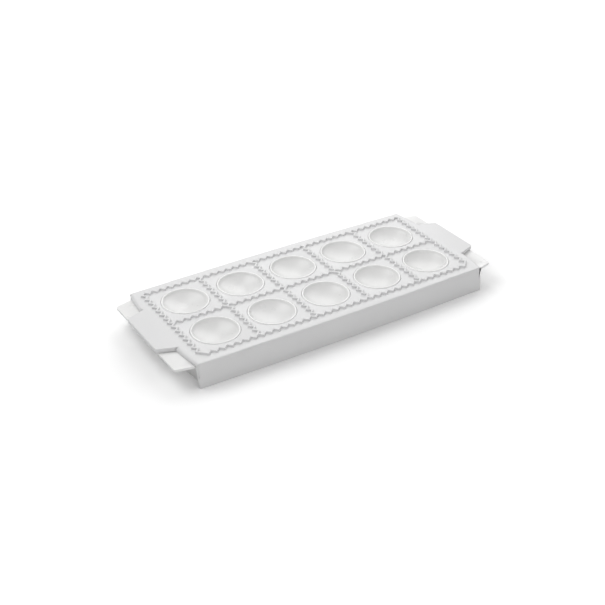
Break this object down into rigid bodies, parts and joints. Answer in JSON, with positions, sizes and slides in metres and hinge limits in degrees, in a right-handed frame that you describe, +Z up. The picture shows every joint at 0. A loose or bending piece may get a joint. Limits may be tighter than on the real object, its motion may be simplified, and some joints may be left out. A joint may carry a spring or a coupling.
{
  "type": "ravioli mould",
  "caption": "Rectangular ravioli mould: a tray of round lipped cups nested in a cutting frame, with zigzag ridges round each pocket and grip tabs at both ends.",
  "frame": {"origin": "on the floor, under the middle of the mould", "axes": "+X along the mould from tab to tab, +Y across it, +Z up"},
  "size_m": [0.27, 0.1116, 0.0206],
  "materials": {
    "frame_plastic": "moulded, light grey white, satin",
    "tray_plastic": "moulded, white, soft sheen"
  },
  "bodies": {
    "root": {"cutting_frame": "frame_plastic", "cup_tray": "tray_plastic"}
  },
  "joints": []
}
